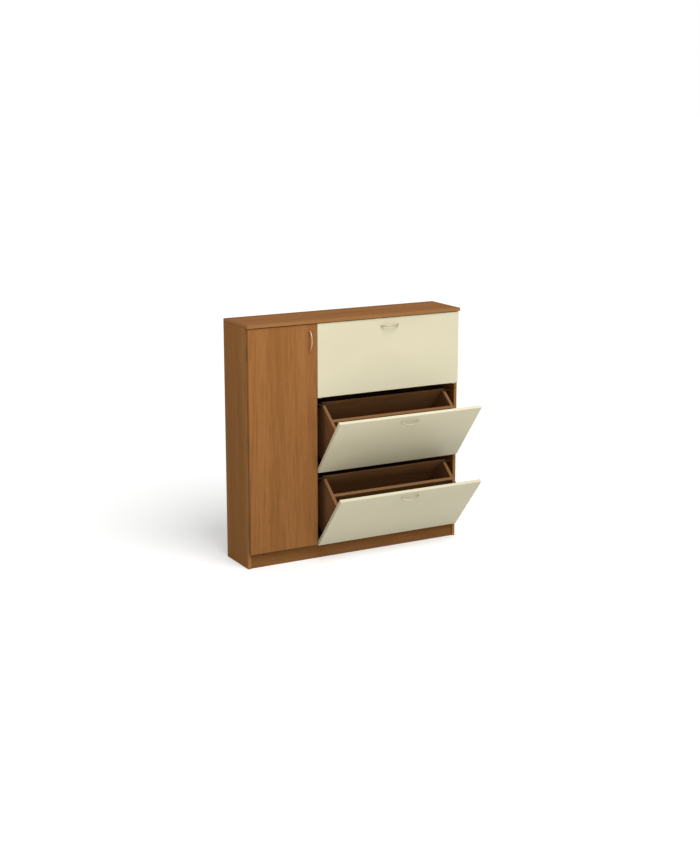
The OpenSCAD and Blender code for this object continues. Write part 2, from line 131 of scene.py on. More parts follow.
class Shader:
    """A material under construction: makes nodes and wires them up in one call."""

    def __init__(self, name):
        self.material = bpy.data.materials.new(name)
        self.material.use_nodes = True
        self.tree = self.material.node_tree
        self.surface = self.tree.nodes["Principled BSDF"]

    def add(self, kind, inputs=(), output=0, **settings):
        """New node with its inputs fed, given by one of its outputs."""
        node = self.tree.nodes.new(kind)
        for key, value in settings.items():
            setattr(node, key, value)
        for key, value in dict(inputs).items():
            self.feed(node.inputs[key], value)
        return node.outputs[output]

    def feed(self, socket, value):
        """Links a socket to another node's output, or sets a constant on it."""
        if isinstance(value, bpy.types.NodeSocket):
            self.tree.links.new(value, socket)
        else:
            socket.default_value = value

    def math(self, operation, a, b=0.0):
        return self.add("ShaderNodeMath", {0: a, 1: b}, operation=operation)

    def weighed(self, *terms):
        """Sum of values, each given with its weight."""
        products = [self.math("MULTIPLY", value, weight) for value, weight in terms]
        total = products[0]
        for product in products[1:]:
            total = self.math("ADD", total, product)
        return total

    def blend(self, amount, a, b, how="MIX"):
        """Mix of two colours."""
        inputs = {0: amount, MIX_A: a, MIX_B: b}
        return self.add("ShaderNodeMix", inputs, MIX_RESULT, data_type="RGBA", blend_type=how)

    def noise(self, where, scale, detail=3.0, roughness=0.55, distortion=0.0):
        inputs = {"Vector": where, "Scale": scale, "Detail": detail}
        inputs.update({"Roughness": roughness, "Distortion": distortion})
        return self.add("ShaderNodeTexNoise", inputs)

    def span(self, value, low, high, to_low=0.0, to_high=1.0):
        """Maps a range of values onto another, with the ends held."""
        inputs = {0: value, 1: low, 2: high, 3: to_low, 4: to_high}
        return self.add("ShaderNodeMapRange", inputs)

    def moved(self, where, location=(0, 0, 0), turn=0.0, scale=(1, 1, 1)):
        """Coordinates scaled, turned about X and then shifted."""
        inputs = {"Vector": where, "Location": location, "Rotation": (turn, 0, 0), "Scale": scale}
        return self.add("ShaderNodeMapping", inputs)

    def bump(self, height, distance, strength):
        inputs = {"Height": height, "Distance": distance, "Strength": strength}
        self.feed(self.surface.inputs["Normal"], self.add("ShaderNodeBump", inputs))

    def set(self, **values):
        """Feeds the surface's sockets, with each socket's spaces written as underscores."""
        for key, value in values.items():
            self.feed(self.surface.inputs[key.replace("_", " ")], value)


def rgb(red, green, blue):
    """Colour of a surface from its 0-255 values on a screen, by the sRGB curve."""
    def linear(value):
        value /= 255
        return value / 12.92 if value <= 0.04045 else ((value + 0.055) / 1.055) ** 2.4
    return (linear(red), linear(green), linear(blue), 1.0)


def dress(node, material):
    """Gives a CAD node a material of its own."""
    for slot in NODES[node].material_slots:
        slot.link = "OBJECT"
        slot.material = material


# ---- Laminated boards ----

ACROSS_X, ACROSS_Y, ACROSS_Z = 0, 1, 2
ALONG_X, ALONG_Y, ALONG_Z = 0, 1, 2

WOOD_DARK = rgb(126, 82, 43)
WOOD_MID = rgb(142, 95, 52)
WOOD_LIGHT = rgb(154, 105, 60)
WOOD_PORE = rgb(104, 66, 33)
WOOD_BAND = rgb(146, 104, 65)
# Painted shade: the bin boards are darker and greyer than the carcass boards, for the shade
# inside the bins
INSIDE_SHADE_TINT = (0.80, 0.90, 1.15, 1.0)
# Painted shade: the plinth front is darker than the other boards, for its shade
PLINTH_SHADE_TINT = (0.78, 0.80, 0.80, 1.0)
# Painted shade: the side panels are a little darker and less blue than the front boards, for
# their shade
SIDE_SHADE_TINT = (0.98, 0.99, 0.85, 1.0)
CREAM_FACE = rgb(206, 199, 171)
CREAM_SHADE = rgb(198, 191, 162)
CREAM_BAND = rgb(217, 209, 182)
CREAM_GRIME = rgb(178, 168, 136)
HARDBOARD_LIGHT = rgb(122, 84, 54)
HARDBOARD_DARK = rgb(92, 60, 36)

# How squarely a surface looks across the board: up to the first value it is an edge, from the
# second a face
EDGE_UP_TO, FACE_FROM = 0.35, 0.75
# Noise near the rim shows as a rubbed spot from the first value, and fully from the second
SPOT_FROM, SPOT_FULL = 0.38, 0.62
# How far a board's pattern may be shifted by chance, along each axis
CHANCE_REACH = 9
# The glue line is at its darkest up to this far from the rim
GLUE_CORE = 0.2 * MM

# Painted shade: boards have their full brightness from one height up, and a share of it at the
# deepest height, so that they darken towards the floor
DEEPEST_HEIGHT = 0.10
WOOD_FULL_HEIGHT = 1.10
CREAM_FULL_HEIGHT = 0.86
FRONT_WOOD = ("door_panel", "plinth_front")
FRONT_WOOD_AT_FLOOR = 0.75
OTHER_WOOD_AT_FLOOR = 0.88
CREAM_AT_FLOOR = 0.74

RING_COUNT = 120.0
RING_WEIGHT = 0.045
WOOD_SHINE = 0.02
CREAM_SHINE = 0.35
SCREEN_SCALE = 700.0


class Board(Shader):
    """Material of one board, in coordinates that lie along it even when its bin is tipped."""

    def __init__(self, node, face, seed):
        super().__init__(node)
        low, high = closed_box(node)
        self.face = face
        self.middle = (low + high) / 2
        self.half = (high - low) / 2
        self.chance = random.Random(seed)
        back = home_of(node).inverted()
        turn = back.to_euler().x
        place = self.add("ShaderNodeTexCoord", output="Object")
        self.place = self.moved(place, location=tuple(back.translation), turn=turn)
        normal = self.add("ShaderNodeTexCoord", output="Normal")
        self.normal = self.moved(normal, turn=turn)
        self.edge = self.edge_mask()
        self.on_face = self.math("SUBTRACT", 1.0, self.edge)
        self.rim = self.rim_distance()

    def along(self, vector, axis):
        """One coordinate of a vector."""
        return self.add("ShaderNodeSeparateXYZ", {0: vector}, output=axis)

    def edge_mask(self):
        """1 on the banded edges of the board and 0 on its faces."""
        across = self.math("ABSOLUTE", self.along(self.normal, self.face))
        return self.span(across, EDGE_UP_TO, FACE_FROM, 1.0, 0.0)

    def rim_distance(self):
        """Metres from the nearest edge of the face."""
        distances = []
        for axis in range(3):
            if axis != self.face:
                off = self.math("SUBTRACT", self.along(self.place, axis), self.middle[axis])
                off = self.math("ABSOLUTE", off)
                distances.append(self.math("SUBTRACT", self.half[axis], off))
        return self.math("MINIMUM", *distances)

    def rubbed(self, reach, depth, spots=260.0):
        """Ragged mask of rubbed places on the face, close to its rim."""
        near = self.span(self.rim, 0.0, reach, 1.0, 0.0)
        rough = self.noise(self.place, spots, detail=4.0)
        ragged = self.span(self.math("MULTIPLY", near, rough), SPOT_FROM, SPOT_FULL)
        ragged = self.math("MULTIPLY", ragged, self.on_face)
        return self.math("MULTIPLY", ragged, depth)

    def glue_line(self, width, depth):
        """Mask of the thin dark line where the face meets its edge bands."""
        line = self.span(self.rim, GLUE_CORE, width, depth, 0.0)
        return self.math("MULTIPLY", line, self.on_face)

    def shaded_towards_floor(self, colour, at_floor, full_height):
        """Colour darkened a little towards the floor, as painted shade for the light that falls
        off lower down.
        """
        height = self.along(self.place, ALONG_Z)
        level = self.span(height, DEEPEST_HEIGHT, full_height, at_floor, 1.0)
        grey = self.add("ShaderNodeCombineXYZ", {0: level, 1: level, 2: level})
        return self.blend(1.0, colour, grey, how="MULTIPLY")

    def streaked(self, grain, squash):
        """Coordinates shrunk along the grain, moved by chance so that no two boards match."""
        scale = [1.0, 1.0, 1.0]
        scale[grain] = squash
        offset = [self.chance.uniform(-CHANCE_REACH, CHANCE_REACH) for _ in range(3)]
        return self.moved(self.place, location=tuple(offset), scale=tuple(scale))


def wood_board(node, face, grain, seed, shade_tint):
    """Cherry-brown wood-grained laminate: face is the axis across the board, grain along it."""
    board = Board(node, face, seed)
    streaks = board.streaked(grain, squash=0.045)
    flame = board.streaked(grain, squash=0.07)
    clouds = board.streaked(grain, squash=0.02)
    specks = board.streaked(grain, squash=0.03)

    broad = board.noise(clouds, scale=9.0, detail=2.0)
    fine = board.noise(streaks, scale=130.0, detail=6.0, roughness=0.72)
    rings_at = board.noise(flame, scale=3.2, detail=1.0, roughness=0.3, distortion=0.15)
    rings = board.math("SINE", board.math("MULTIPLY", rings_at, RING_COUNT))
    rings = board.math("SUBTRACT", board.span(rings, -1.0, 1.0), 0.5)
    pores = board.span(board.noise(specks, scale=520.0, detail=2.0), 0.58, 0.68)

    tone = board.weighed((broad, 0.5), (fine, 0.5), (rings, RING_WEIGHT))
    colour = board.blend(board.span(tone, 0.32, 0.54), WOOD_DARK, WOOD_MID)
    colour = board.blend(board.span(tone, 0.46, 0.68), colour, WOOD_LIGHT)
    colour = board.blend(board.math("MULTIPLY", pores, 0.35), colour, WOOD_PORE)

    band = board.blend(board.span(fine, 0.3, 0.7), WOOD_MID, WOOD_BAND)
    colour = board.blend(board.edge, colour, band)
    colour = board.blend(board.glue_line(width=1.0 * MM, depth=0.5), colour, WOOD_PORE)
    colour = board.blend(board.rubbed(reach=4 * MM, depth=0.35), colour, WOOD_LIGHT)
    # Painted shade: a darker tint on the bin boards, plinth and side panels
    if shade_tint:
        colour = board.blend(1.0, colour, shade_tint, how="MULTIPLY")
    # Painted shade: the board darkens towards the floor, most on the door and the plinth front
    at_floor = FRONT_WOOD_AT_FLOOR if node in FRONT_WOOD else OTHER_WOOD_AT_FLOOR
    colour = board.shaded_towards_floor(colour, at_floor, WOOD_FULL_HEIGHT)

    rough = board.span(fine, 0.2, 0.8, 0.52, 0.66)
    rough = board.math("ADD", rough, board.math("MULTIPLY", pores, 0.10))
    height = board.math("SUBTRACT", board.math("MULTIPLY", fine, 0.25), pores)
    board.set(Base_Color=colour, Roughness=rough, Specular_IOR_Level=WOOD_SHINE)
    board.bump(height, distance=0.12 * MM, strength=0.45)
    return board.material


def cream_board(node, face, seed):
    """Cream laminate with a faint embossed pore along X and lighter banded edges."""
    board = Board(node, face, seed)
    clouds = board.streaked(ALONG_X, squash=0.35)
    specks = board.streaked(ALONG_X, squash=0.04)
    pearl = board.noise(board.place, scale=900.0, detail=2.0)
    cloud = board.noise(clouds, scale=3.5, detail=3.0)
    pores = board.span(board.noise(specks, scale=420.0, detail=2.0), 0.58, 0.72)

    colour = board.blend(board.span(cloud, 0.3, 0.7), CREAM_SHADE, CREAM_FACE)
    colour = board.blend(board.math("MULTIPLY", pores, 0.10), colour, CREAM_GRIME)
    band = board.blend(board.span(cloud, 0.3, 0.7, 0.0, 0.5), CREAM_BAND, CREAM_FACE)
    colour = board.blend(board.edge, colour, band)
    colour = board.blend(board.glue_line(width=0.9 * MM, depth=0.45), colour, CREAM_GRIME)
    rubbed = board.rubbed(reach=6 * MM, depth=0.25, spots=180.0)
    colour = board.blend(rubbed, colour, CREAM_GRIME)
    # Painted shade: the front darkens towards the floor
    colour = board.shaded_towards_floor(colour, CREAM_AT_FLOOR, CREAM_FULL_HEIGHT)

    rough = board.span(cloud, 0.2, 0.8, 0.34, 0.46)
    rough = board.math("ADD", rough, board.math("MULTIPLY", pearl, 0.06))
    height = board.math("SUBTRACT", board.math("MULTIPLY", pearl, 0.2), pores)
    board.set(Base_Color=colour, Roughness=rough, Specular_IOR_Level=CREAM_SHINE)
    board.bump(height, distance=0.08 * MM, strength=0.35)
    return board.material


def hardboard(node, seed):
    """Pressed fibre back: mottled, matte, with a fine screen pattern."""
    board = Board(node, ACROSS_Y, seed)
    fibres = board.noise(board.place, scale=420.0, detail=6.0, roughness=0.7)
    patches = board.noise(board.place, scale=14.0, detail=3.0)
    tone = board.weighed((fibres, 0.6), (patches, 0.4))
    colour = board.blend(board.span(tone, 0.35, 0.65), HARDBOARD_DARK, HARDBOARD_LIGHT)
    rubbed = board.rubbed(reach=8 * MM, depth=0.5, spots=120.0)
    colour = board.blend(rubbed, colour, HARDBOARD_LIGHT)

    inputs = {"Vector": board.place, "Scale": SCREEN_SCALE}
    screen = board.add("ShaderNodeTexChecker", inputs, output="Fac")
    height = board.math("ADD", board.math("MULTIPLY", screen, 0.4), fibres)
    board.set(Base_Color=colour, Roughness=board.span(fibres, 0.3, 0.7, 0.70, 0.88))
    board.bump(height, distance=0.15 * MM, strength=0.5)
    return board.material


# Axis across each wooden board, and the axis of its grain
BOARDS = {
    "left_side": (ACROSS_X, ALONG_Z),
    "right_side": (ACROSS_X, ALONG_Z),
    "partition": (ACROSS_X, ALONG_Z),
    "top_panel": (ACROSS_Z, ALONG_X),
    "bottom_panel": (ACROSS_Z, ALONG_X),
    "plinth_front": (ACROSS_Y, ALONG_X),
    "plinth_back": (ACROSS_Y, ALONG_X),
    "cross_rail_upper": (ACROSS_Z, ALONG_X),
    "cross_rail_lower": (ACROSS_Z, ALONG_X),
    "shelf_upper": (ACROSS_Z, ALONG_X),
    "shelf_middle": (ACROSS_Z, ALONG_X),
    "shelf_lower": (ACROSS_Z, ALONG_X),
    "door_panel": (ACROSS_Y, ALONG_Z),
}
BIN_BOARDS = {
    "bin_left": (ACROSS_X, ALONG_Y),
    "bin_right": (ACROSS_X, ALONG_Y),
    "bin_back": (ACROSS_Y, ALONG_X),
    "bin_floor": (ACROSS_Z, ALONG_X),
    "bin_divider": (ACROSS_Y, ALONG_X),
}
# Painted shade tints of single boards
SHADE_TINTS = {"plinth_front": PLINTH_SHADE_TINT, "left_side": SIDE_SHADE_TINT, "right_side": SIDE_SHADE_TINT}

# Wooden boards take their seeds from 0 up
FIRST_CREAM_SEED = 100
FIRST_HARDBOARD_SEED = 200

# Widths of the rounding on the boards' edges
WOOD_EDGE = 0.7 * MM
CREAM_EDGE = 0.8 * MM
HARDBOARD_EDGE = 0.3 * MM


def all_boards():
    """Axes of every wooden board, by node."""
    boards = dict(BOARDS)
    for name in BINS:
        boards.update({f"{name}_{part}": axes for part, axes in BIN_BOARDS.items()})
    return boards


def dress_boards():
    for seed, (node, (face, grain)) in enumerate(all_boards().items()):
        # Painted shade tint for bin boards, plinth and side panels
        shade_tint = INSIDE_SHADE_TINT if "_bin_" in node else SHADE_TINTS.get(node)
        dress(node, wood_board(node, face, grain, seed, shade_tint))
        soften(NODES[node], WOOD_EDGE)
    for seed, name in enumerate(BINS, FIRST_CREAM_SEED):
        node = f"{name}_front"
        dress(node, cream_board(node, ACROSS_Y, seed))
        soften(NODES[node], CREAM_EDGE)
    for seed, node in enumerate(("back_panel_left", "back_panel_right"), FIRST_HARDBOARD_SEED):
        dress(node, hardboard(node, seed))
        soften(NODES[node], HARDBOARD_EDGE, segments=1)


# ---- Metals, plastic and rubber ----

SPANGLE_SCALE = 260.0
BRUSHING_SCALE = 1800.0


def metal(name, light, dark, rough, brushed=(1, 1, 1), mottle=0.0, metallic=1.0):
    """Metal with fine brushing along a squashed axis, and spangle or tarnish as mottle."""
    made = Shader(name)
    place = made.add("ShaderNodeTexCoord", output="Object")
    brushing = made.moved(place, scale=brushed)
    lines = made.noise(brushing, BRUSHING_SCALE, detail=4.0, roughness=0.6)
    inputs = {"Vector": place, "Scale": SPANGLE_SCALE}
    cells = made.add("ShaderNodeTexVoronoi", inputs, output="Color")
    cells = made.add("ShaderNodeSeparateColor", {0: cells})
    smudge = made.noise(place, scale=45.0, detail=4.0)
    tone = made.weighed((lines, 1.0 - mottle), (cells, mottle))
    colour = made.blend(made.span(tone, 0.25, 0.75), dark, light)
    roughness = made.span(smudge, 0.3, 0.7, rough - 0.07, rough + 0.09)
    made.set(Base_Color=colour, Roughness=roughness, Metallic=metallic)
    made.bump(lines, distance=0.04 * MM, strength=0.35)
    return made.material


def moulded(name, light, dark, rough, grain=700.0, shine=0.5):
    """Moulded plastic or rubber with a fine spark-eroded grain and rubbed patches."""
    made = Shader(name)
    place = made.add("ShaderNodeTexCoord", output="Object")
    skin = made.noise(place, grain, detail=4.0, roughness=0.6)
    patches = made.noise(place, scale=60.0, detail=3.0)
    colour = made.blend(made.span(patches, 0.35, 0.7), dark, light)
    roughness = made.span(skin, 0.3, 0.7, rough - 0.08, rough + 0.08)
    made.set(Base_Color=colour, Roughness=roughness, Specular_IOR_Level=shine)
    made.bump(skin, distance=0.06 * MM, strength=0.5)
    return made.material


# Patterns squashed along an axis, so that they look brushed along it
BRUSHED_X, BRUSHED_Z = (0.04, 1, 1), (1, 1, 0.04)
# Handle satin is champagne, partly a painted reflection: the bin handles are near the cream
# fronts' colour, and the door handle is warmer, near the wood
SATIN_LIGHT, SATIN_DARK = rgb(194, 183, 156), rgb(178, 167, 140)
UPRIGHT_LIGHT, UPRIGHT_DARK = rgb(200, 171, 138), rgb(174, 146, 114)
ZINC_LIGHT, ZINC_DARK = rgb(206, 208, 210), rgb(160, 162, 164)
BRONZE_LIGHT, BRONZE_DARK = rgb(142, 106, 68), rgb(108, 78, 50)
RUBBER_LIGHT, RUBBER_DARK = rgb(60, 42, 30), rgb(44, 30, 21)
PLASTIC_LIGHT, PLASTIC_DARK = rgb(84, 60, 42), rgb(62, 44, 30)
BEECH_LIGHT, BEECH_DARK = rgb(214, 180, 132), rgb(186, 148, 100)

satin = metal(
    "satin_champagne", SATIN_LIGHT, SATIN_DARK, rough=0.50, brushed=BRUSHED_X, metallic=0.5
)
satin_upright = metal(
    "satin_champagne_upright", UPRIGHT_LIGHT, UPRIGHT_DARK, rough=0.46, brushed=BRUSHED_Z,
    metallic=0.65,
)
zinc = metal("zinc_plate", ZINC_LIGHT, ZINC_DARK, rough=0.34, mottle=0.55)
bronze = metal("bronzed_plate", BRONZE_LIGHT, BRONZE_DARK, rough=0.42, mottle=0.12, metallic=0.8)
rubber = moulded("brown_rubber", RUBBER_LIGHT, RUBBER_DARK, rough=0.84, shine=0.12)
plastic = moulded("brown_plastic", PLASTIC_LIGHT, PLASTIC_DARK, rough=0.46, grain=900.0)
beech = moulded("beech", BEECH_LIGHT, BEECH_DARK, rough=0.62, grain=400.0)


# ---- Mesh helpers ----

FRONTWARD = Vector((0, -1, 0))
BACKWARD = Vector((0, 1, 0))
UPWARD = Vector((0, 0, 1))
SOFT_ANGLE = math.radians(40.0)
RECESS_SIDES = 24
# Widths of the rounding on the fittings' edges
PAN_EDGE = 0.1 * MM
PLATE_EDGE = 0.15 * MM
PART_EDGE = 0.2 * MM
SLEEVE_EDGE = 0.8 * MM
CATCH_EDGE = 1.2 * MM


def piece_from(bm, name, material, body, home, replaces=()):
    """Turns a mesh drawn in closed coordinates into a piece that rides on a body."""
    bmesh.ops.recalc_face_normals(bm, faces=bm.faces)
    bmesh.ops.transform(bm, matrix=home, verts=bm.verts)
    mesh = bpy.data.meshes.new(name)
    bm.to_mesh(mesh)
    bm.free()
    mesh.materials.append(material)
    mesh.shade_smooth()
    obj = bpy.data.objects.new(name, mesh)
    bpy.context.scene.collection.objects.link(obj)
    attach(obj, body)
    if replaces:
        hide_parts(*replaces)
    return obj


def soften(obj, width, segments=2):
    """Small rounded edges with clean shading."""
    bevel = obj.modifiers.new("edges", "BEVEL")
    bevel.width = width
    bevel.segments = segments
    bevel.limit_method = "ANGLE"
    bevel.angle_limit = SOFT_ANGLE
    bevel.harden_normals = True


def frame_along(axis):
    """Matrix that turns +Z to an axis."""
    return Vector(axis).to_track_quat("Z", "Y").to_matrix().to_4x4()


def circle(radius, height, sides):
    """Points round a circle about the Z axis."""
    turns = [2 * math.pi * k / sides for k in range(sides)]
    return [Vector((radius * math.cos(t), radius * math.sin(t), height)) for t in turns]


def lathe(bm, profile, at, axis, sides):
    """Turned solid: profile is a list of (radius, height), closed on the axis at both ends."""
    place = Matrix.Translation(at) @ frame_along(axis)
    rings = []
    for radius, height in profile:
        points = [Vector((0, 0, height))] if radius == 0 else circle(radius, height, sides)
        rings.append([bm.verts.new(place @ p) for p in points])
    for lower, upper in zip(rings, rings[1:]):
        for k in range(sides):
            after = (k + 1) % sides
            corners = [lower[k % len(lower)], lower[after % len(lower)]]
            corners += [upper[after % len(upper)], upper[k % len(upper)]]
            bm.faces.new(list(dict.fromkeys(corners)))


def cross_recess(bm, centre, axis, radius, arm, half_arm, depth):
    """Flat round top of a screw's head with a cross-shaped recess sunk into it."""
    place = Matrix.Translation(centre) @ frame_along(axis)
    corner = [(arm, -half_arm), (arm, half_arm), (half_arm, half_arm)]
    plus = []
    for quarter in range(4):
        turn = Matrix.Rotation(quarter * math.pi / 2, 3, "Z")
        plus += [turn @ Vector((x, y, 0)) for x, y in corner]
    outer = circle(radius, 0, RECESS_SIDES)
    loops = [[bm.verts.new(place @ p) for p in points] for points in (outer, plus)]
    edges = []
    for loop in loops:
        edges += [bm.edges.new((a, b)) for a, b in zip(loop, loop[1:] + loop[:1])]
    bmesh.ops.triangle_fill(bm, use_beauty=True, edges=edges)
    sink = place.to_3x3() @ Vector((0, 0, -depth))
    bottom = [bm.verts.new(v.co + sink) for v in loops[1]]
    for k, top in enumerate(loops[1]):
        after = (k + 1) % len(bottom)
        bm.faces.new([top, loops[1][after], bottom[after], bottom[k]])
    bm.faces.new(bottom)


def box_mesh(bm, low, high):
    """Box between two corners."""
    made = bmesh.ops.create_cube(bm, size=1.0)
    low, high = Vector(low), Vector(high)
    for v in made["verts"]:
        v.co = Vector([low[i] + (high[i] - low[i]) * (v.co[i] + 0.5) for i in range(3)])


# ---- Handles ----

FOOT_HALF_PITCH = 48 * MM
GRIP_RISE = 25 * MM
FOOT_RADIUS = 4.5 * MM
GRIP_HALF_WIDTH = 3.6 * MM
GRIP_HALF_THICK = 2.7 * MM
# The points that pull half a bow's curve: along the handle, and off the face
GRIP_PULL = Vector((20 * MM, -GRIP_RISE))
FOOT_PULL = Vector((44 * MM, -15 * MM))
BOW_STEPS = 22
BOW_SIDES = 20


def bow_path():
    """Points and directions of half a bow, from the middle of the grip to a foot on the face."""
    start, end = Vector((0, -GRIP_RISE)), Vector((FOOT_HALF_PITCH, 0))
    for k in range(BOW_STEPS + 1):
        t = k / BOW_STEPS
        u = 1 - t
        point = start * u**3 + GRIP_PULL * (3 * u * u * t)
        point = point + FOOT_PULL * (3 * u * t * t) + end * t**3
        slope = (GRIP_PULL - start) * (u * u) + (FOOT_PULL - GRIP_PULL) * (2 * u * t)
        slope = slope + (end - FOOT_PULL) * (t * t)
        yield t, point, slope.normalized()


def bow_handle(node, place, body, material):
    """Cast bow handle: an oval grip that swells into two round feet."""
    bm = bmesh.new()
    half = list(bow_path())
    mirrored = [(t, Vector((-p.x, p.y)), Vector((d.x, -d.y))) for t, p, d in reversed(half[1:])]
    rings = []
    for t, point, slope in mirrored + half:
        swell = t**4
        wide = GRIP_HALF_WIDTH + (FOOT_RADIUS - GRIP_HALF_WIDTH) * swell
        thick = GRIP_HALF_THICK + (FOOT_RADIUS - GRIP_HALF_THICK) * swell
        normal = Vector((-slope.y, slope.x))
        ring = []
        for k in range(BOW_SIDES):
            turn = 2 * math.pi * k / BOW_SIDES
            flat = point + normal * (thick * math.cos(turn))
            ring.append(bm.verts.new(place @ Vector((flat.x, flat.y, wide * math.sin(turn)))))
        rings.append(ring)
    for a, b in zip(rings, rings[1:]):
        for k in range(BOW_SIDES):
            after = (k + 1) % BOW_SIDES
            bm.faces.new([a[k], a[after], b[after], b[k]])
    bm.faces.new(rings[0])
    bm.faces.new(rings[-1])
    piece_from(bm, f"{node}_bow", material, body, home_of(node), [node])


def handle_place(node):
    """Matrix from a handle drawn on the plane y = 0 along X to its place on a closed front."""
    low, high = closed_box(node)
    centre = (low + high) / 2
    upright = (high - low).z > (high - low).x
    turn = Matrix.Rotation(math.pi / 2, 4, "Y") if upright else UNMOVED
    return Matrix.Translation((centre.x, high.y, centre.z)) @ turn


# ---- Screws ----

BOARD_THICKNESS = 16 * MM

PAN_HEIGHT = 2.5 * MM
PAN_TOP_RADIUS = 2.9 * MM
PAN_HEAD = [(0, 0), (4 * MM, 0), (4 * MM, 1.2 * MM), (3.6 * MM, 2 * MM)]
PAN_HEAD += [(PAN_TOP_RADIUS, PAN_HEIGHT)]
PAN_RECESS = {"arm": 2 * MM, "half_arm": 0.45 * MM, "depth": 1.2 * MM}

FLAT_SCREW_LENGTH = 14 * MM
FLAT_TOP_RADIUS = 2.75 * MM
FLAT_TOP_LIFT = 0.15 * MM
FLAT_RECESS = {"arm": 1.9 * MM, "half_arm": 0.4 * MM, "depth": 0.8 * MM}
# How much longer or shorter than a flat screw a solid may be, to be taken for one
LENGTH_SLACK = 0.5 * MM
# Points further out than this share of half a screw's length belong to its two ends
END_SHARE = 0.8


def pan_screws(handle, name, place, body, material):
    """Pan heads with a cross recess, over the two screws that hold a handle."""
    bm = bmesh.new()
    for side in (-1, 1):
        at = place @ Vector((side * FOOT_HALF_PITCH, BOARD_THICKNESS, 0))
        lathe(bm, PAN_HEAD, at, BACKWARD, sides=24)
        cross_recess(bm, at + BACKWARD * PAN_HEIGHT, BACKWARD, PAN_TOP_RADIUS, **PAN_RECESS)
    made = piece_from(bm, name, material, body, home_of(handle))
    soften(made, PAN_EDGE, segments=1)


def islands_of(node):
    """Points of each separate solid of a node, in closed coordinates."""
    mesh = NODES[node].data
    back = home_of(node).inverted()
    parent = list(range(len(mesh.vertices)))

    def root(i):
        while parent[i] != i:
            parent[i] = parent[parent[i]]
            i = parent[i]
        return i

    where = {}
    for v in mesh.vertices:
        key = tuple(round(c, 6) for c in v.co)
        parent[v.index] = where.setdefault(key, v.index)
    for edge in mesh.edges:
        parent[root(edge.vertices[0])] = root(edge.vertices[1])
    groups = {}
    for v in mesh.vertices:
        groups.setdefault(root(v.index), []).append(back @ v.co)
    return list(groups.values())


def solids_of(node):
    """Boxes of the separate solids of a node, in closed coordinates."""
    boxes = [extent(points) for points in islands_of(node)]
    return sorted(boxes, key=lambda box: tuple(round(c, 5) for c in box[0]))


def flat_heads(node):
    """Middle of the top of every flat screw head in a node, and the way that it looks."""
    for points in islands_of(node):
        low, high = extent(points)
        size = high - low
        axis = max(range(3), key=lambda i: size[i])
        if abs(size[axis] - FLAT_SCREW_LENGTH) > LENGTH_SLACK:
            continue
        centre = (low + high) / 2
        # The head is at the end whose points stand further from the screw's axis
        spread = {}
        for p in points:
            radial = p - centre
            if radial.length > END_SHARE * size[axis] / 2:
                side = 1 if radial[axis] > 0 else -1
                radial[axis] = 0
                spread[side] = max(spread.get(side, 0), radial.length)
        side = max(spread, key=spread.get)
        way = Vector((0, 0, 0))
        way[axis] = side
        centre[axis] = high[axis] if side > 0 else low[axis]
        yield centre, way


def flat_screws(name, node, body, material):
    """Cross-recessed tops on the flat screw heads of a node."""
    bm = bmesh.new()
    for top, way in flat_heads(node):
        cross_recess(bm, top + way * FLAT_TOP_LIFT, way, FLAT_TOP_RADIUS, **FLAT_RECESS)
    piece_from(bm, name, material, body, home_of(node))


# ---- Other fittings ----

# Angles up the dome of a bumper, and the share of its thickness that is straight
DOME_ANGLES = (0, 0.35, 0.7, 1.05, 1.35)
BUMPER_STRAIGHT = 0.45

SHELF_PIN_DEEP = 8 * MM
SHELF_PIN_OUT = 8 * MM
# Outlines of a shelf pin's collar and tip: shares of its radius, and how far from the wall for
# the collar, or from the pin's end for the tip
COLLAR = ((1, 0), (1.45, 0), (1.45, 0.5 * MM), (1.25, 1.0 * MM), (1, 1.2 * MM))
TIP = ((1, 0.8 * MM), (0.8, 0.2 * MM), (0, 0))

BUTTON_RADIUS = 2.3 * MM
BUTTON_RISE = 1.1 * MM
BUTTON_RIM = 0.2 * MM

NAIL_PITCH = 140 * MM
NAIL_INSET = 8 * MM
SEAM_INSET = 5 * MM
BOTTOM_ROW = 62 * MM
TOP_ROW_DOWN = 5 * MM
NAIL_HEAD = [(0, -0.2 * MM), (1.6 * MM, -0.2 * MM), (1.7 * MM, 0.2 * MM)]
NAIL_HEAD += [(1.3 * MM, 0.45 * MM), (0, 0.5 * MM)]

# Where the two pole plates begin, as shares of the width of the catch
POLE_STARTS = (0.30, 0.62)
POLE_THICK = 1.4 * MM
POLE_OUT = 0.5 * MM
POLE_IN = 3 * MM
POLE_END_ROOM = 8 * MM


def domed_bumpers(material):
    """Soft round buffers with a domed face, where the CAD has plain discs."""
    bm = bmesh.new()
    for low, high in solids_of("front_bumpers"):
        middle = (low + high) / 2
        radius, thick = (high.x - low.x) / 2, high.y - low.y
        profile = [(0, 0), (radius, 0)]
        for a in DOME_ANGLES:
            share = BUMPER_STRAIGHT + (1 - BUMPER_STRAIGHT) * math.sin(a)
            profile.append((radius * math.cos(a), thick * share))
        profile.append((0, thick))
        lathe(bm, profile, (middle.x, high.y, middle.z), FRONTWARD, sides=28)
    replaced = ["front_bumpers"]
    piece_from(bm, "bumper_domes", material, "cabinet", UNMOVED, replaced)


def collared_pins(material):
    """Shelf pins with a collar against the wall and a rounded tip."""
    bm = bmesh.new()
    left_wall, right_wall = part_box("left_side")[1][0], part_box("partition")[0][0]
    for low, high in solids_of("shelf_pins"):
        middle = (low + high) / 2
        on_left = middle.x < (left_wall + right_wall) / 2
        way = 1 if on_left else -1
        wall = left_wall if on_left else right_wall
        radius = (high.z - low.z) / 2
        profile = [(0, -SHELF_PIN_DEEP), (radius, -SHELF_PIN_DEEP)]
        profile += [(share * radius, out) for share, out in COLLAR]
        profile += [(share * radius, SHELF_PIN_OUT - short) for share, short in TIP]
        lathe(bm, profile, (wall, middle.y, middle.z), (way, 0, 0), sides=24)
    replaced = ["shelf_pins"]
    piece_from(bm, "shelf_pin_set", material, "cabinet", UNMOVED, replaced)


